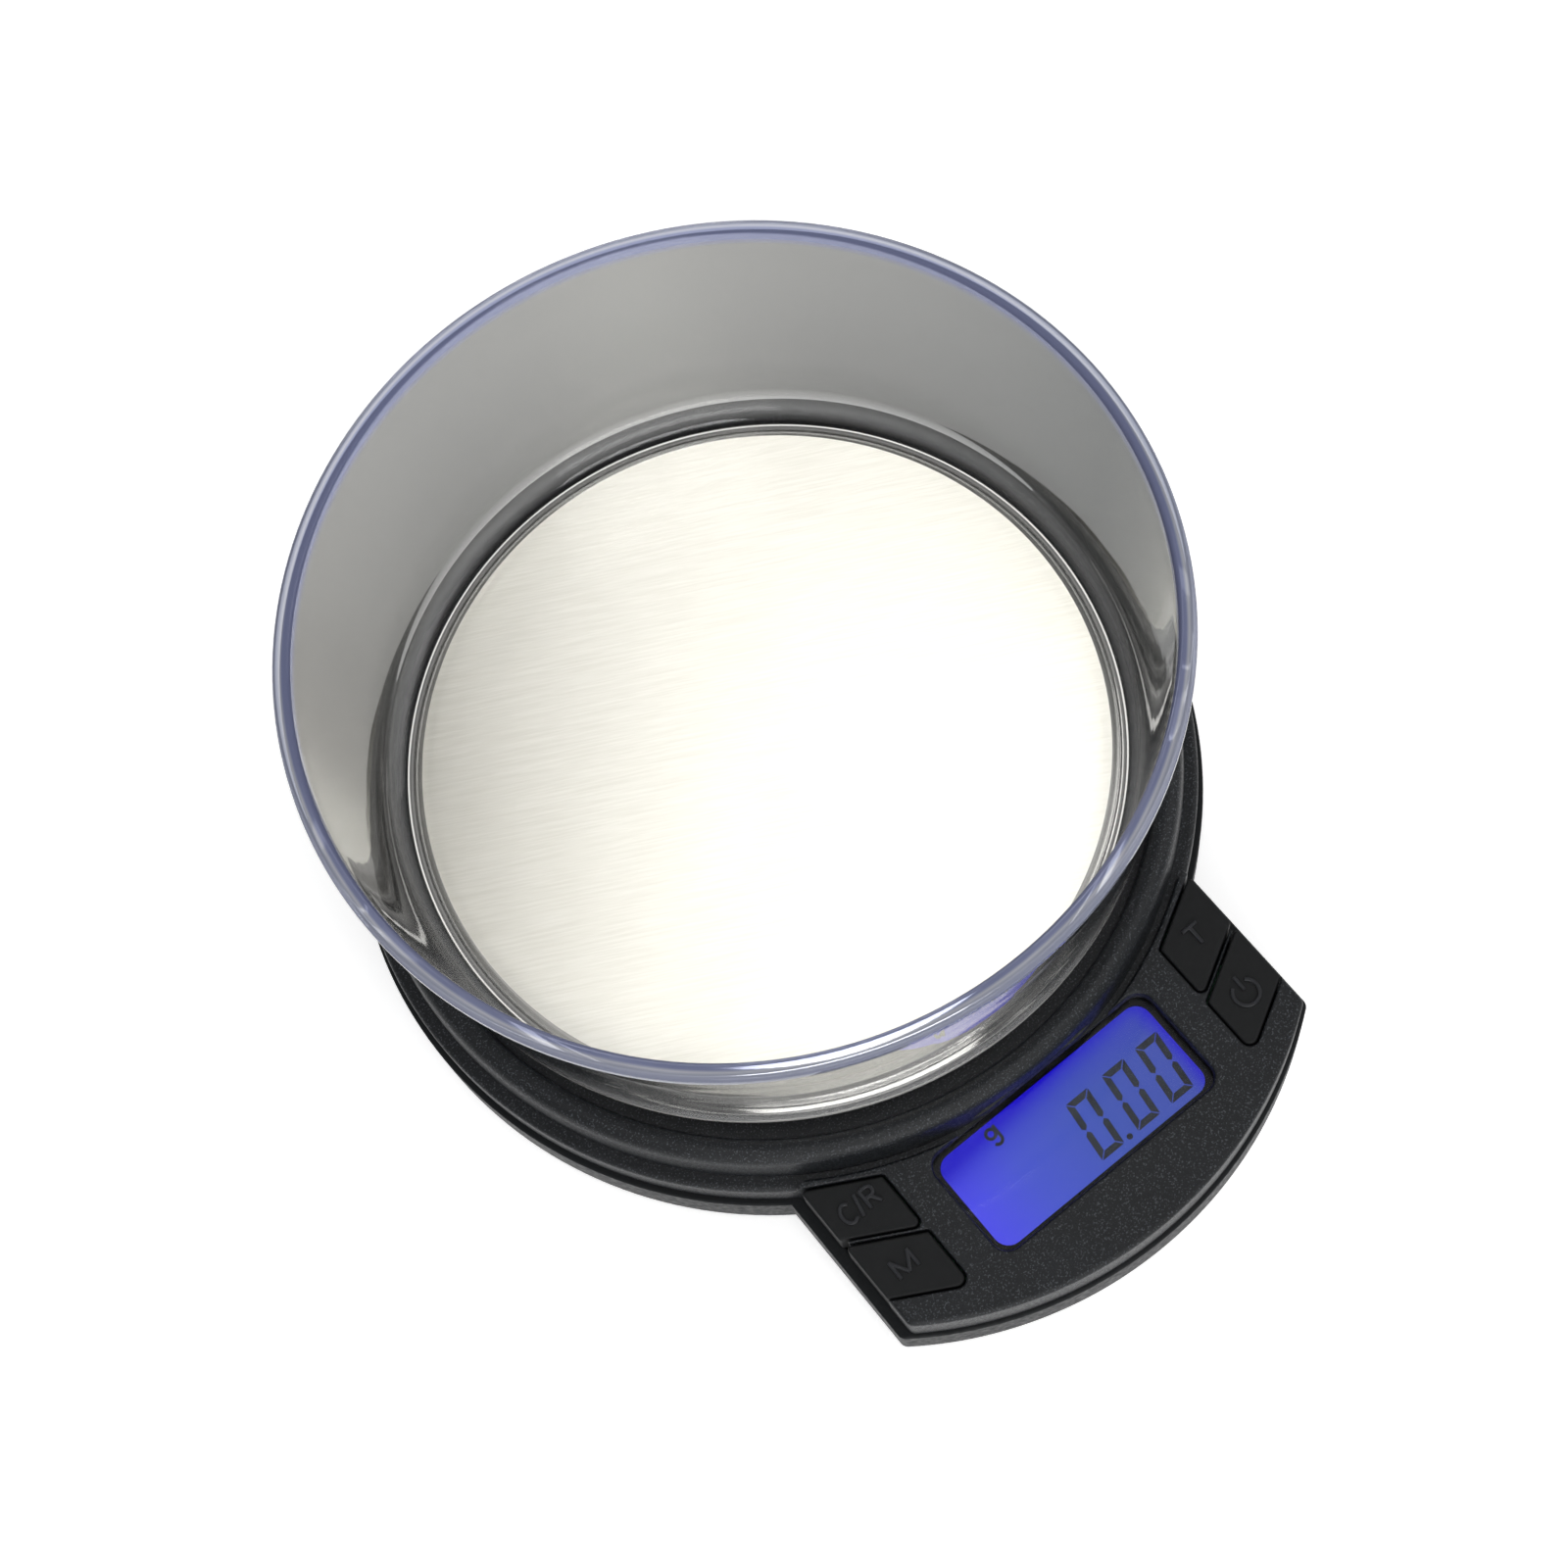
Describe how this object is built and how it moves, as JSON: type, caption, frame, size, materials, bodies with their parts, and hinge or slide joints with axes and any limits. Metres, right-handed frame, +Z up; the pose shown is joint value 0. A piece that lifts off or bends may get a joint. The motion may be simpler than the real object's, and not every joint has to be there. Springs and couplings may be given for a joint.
{
  "type": "digital gram scale",
  "caption": "Compact digital gram scale with a round brushed steel platform, a loose clear bowl and a console with a lit blue display and keys on both sides.",
  "frame": {"origin": "centre of the footprint, on the surface that the rubber feet stand on", "axes": "+Z up; -Y towards the user, through the console; +X to the right of a user who reads the display"},
  "size_m": [0.1284, 0.1536, 0.072],
  "materials": {
    "casing": "black moulded plastic with a fine spark-eroded texture",
    "black_trim": "smooth black",
    "foot_rubber": "matte rubber",
    "key_rubber": "matte rubber with raised marks",
    "zinc": "zinc plated",
    "white_plastic": "satin white",
    "cell_aluminium": "milled",
    "foam": "closed-cell foam",
    "platform_steel": "linear brushed stainless steel",
    "bowl_clear": "clear, polished",
    "window_clear": "clear, polished",
    "lcd_lit": "lit blue liquid crystal display",
    "board": "green solder mask",
    "lead_red": "red wire sleeve",
    "lead_black": "black wire sleeve",
    "battery_sleeve": "printed sleeve with no lettering"
  },
  "bodies": {
    "casing": {"lower_shell": "casing", "upper_shell": "casing", "rubber_foot_1": "foot_rubber", "rubber_foot_2": "foot_rubber", "rubber_foot_3": "foot_rubber", "rubber_foot_4": "foot_rubber", "case_screw_1": "zinc", "case_screw_2": "zinc", "case_screw_3": "zinc", "case_screw_4": "zinc", "case_screw_5": "zinc", "case_screw_6": "zinc", "load_cell": "cell_aluminium", "strain_gauge_top": "white_plastic", "strain_gauge_bottom": "white_plastic", "load_cell_screw_1": "zinc", "load_cell_screw_2": "zinc", "overload_stop_screw": "zinc", "lcd_window": "window_clear", "lcd_bezel": "black_trim", "lcd_glass": "lcd_lit", "backlight_panel": "white_plastic", "zebra_strip": "foam", "lcd_holder": "white_plastic", "switch_tare": "zinc", "switch_power": "zinc", "switch_count": "zinc", "switch_mode": "zinc", "main_board": "board", "scale_chip": "black_trim", "cell_connector": "white_plastic", "power_connector": "white_plastic", "load_cell_cable": "white_plastic", "battery_1": "battery_sleeve", "battery_2": "battery_sleeve", "battery_spring_1": "zinc", "battery_plate_1": "zinc", "battery_spring_2": "zinc", "battery_plate_2": "zinc", "battery_lead_red": "lead_red", "battery_lead_black": "lead_black"},
    "platform": {"platform_support": "casing", "platform_screw_1": "zinc", "platform_screw_2": "zinc", "platform_pad_1": "foam", "platform_pad_2": "foam", "platform_pad_3": "foam", "platform_pad_4": "foam", "weighing_platform": "platform_steel"},
    "bowl": {"bowl": "bowl_clear"},
    "battery_door": {"battery_door": "casing"},
    "button_tare": {"button_tare": "key_rubber"},
    "button_power": {"button_power": "key_rubber"},
    "button_count": {"button_count": "key_rubber"},
    "button_mode": {"button_mode": "key_rubber"}
  },
  "joints": [
    {"name": "platform_press", "type": "slide", "parent": "casing", "child": "platform", "axis": [0, 0, -1], "range_m": [0, 0.0004], "stiffness_N_per_m": 16000, "springref_m": -0.00012},
    {"name": "bowl_lift", "type": "slide", "parent": "platform", "child": "bowl", "axis": [0, 0, 1], "range_m": [0, 0.05]},
    {"name": "battery_door_slide", "type": "slide", "parent": "casing", "child": "battery_door", "axis": [0, 1, 0], "range_m": [0, 0.05]},
    {"name": "button_tare_press", "type": "slide", "parent": "casing", "child": "button_tare", "axis": [0, 0, -1], "range_m": [0, 0.0008], "stiffness_N_per_m": 1200},
    {"name": "button_power_press", "type": "slide", "parent": "casing", "child": "button_power", "axis": [0, 0, -1], "range_m": [0, 0.0008], "stiffness_N_per_m": 1200},
    {"name": "button_count_press", "type": "slide", "parent": "casing", "child": "button_count", "axis": [0, 0, -1], "range_m": [0, 0.0008], "stiffness_N_per_m": 1200},
    {"name": "button_mode_press", "type": "slide", "parent": "casing", "child": "button_mode", "axis": [0, 0, -1], "range_m": [0, 0.0008], "stiffness_N_per_m": 1200}
  ]
}
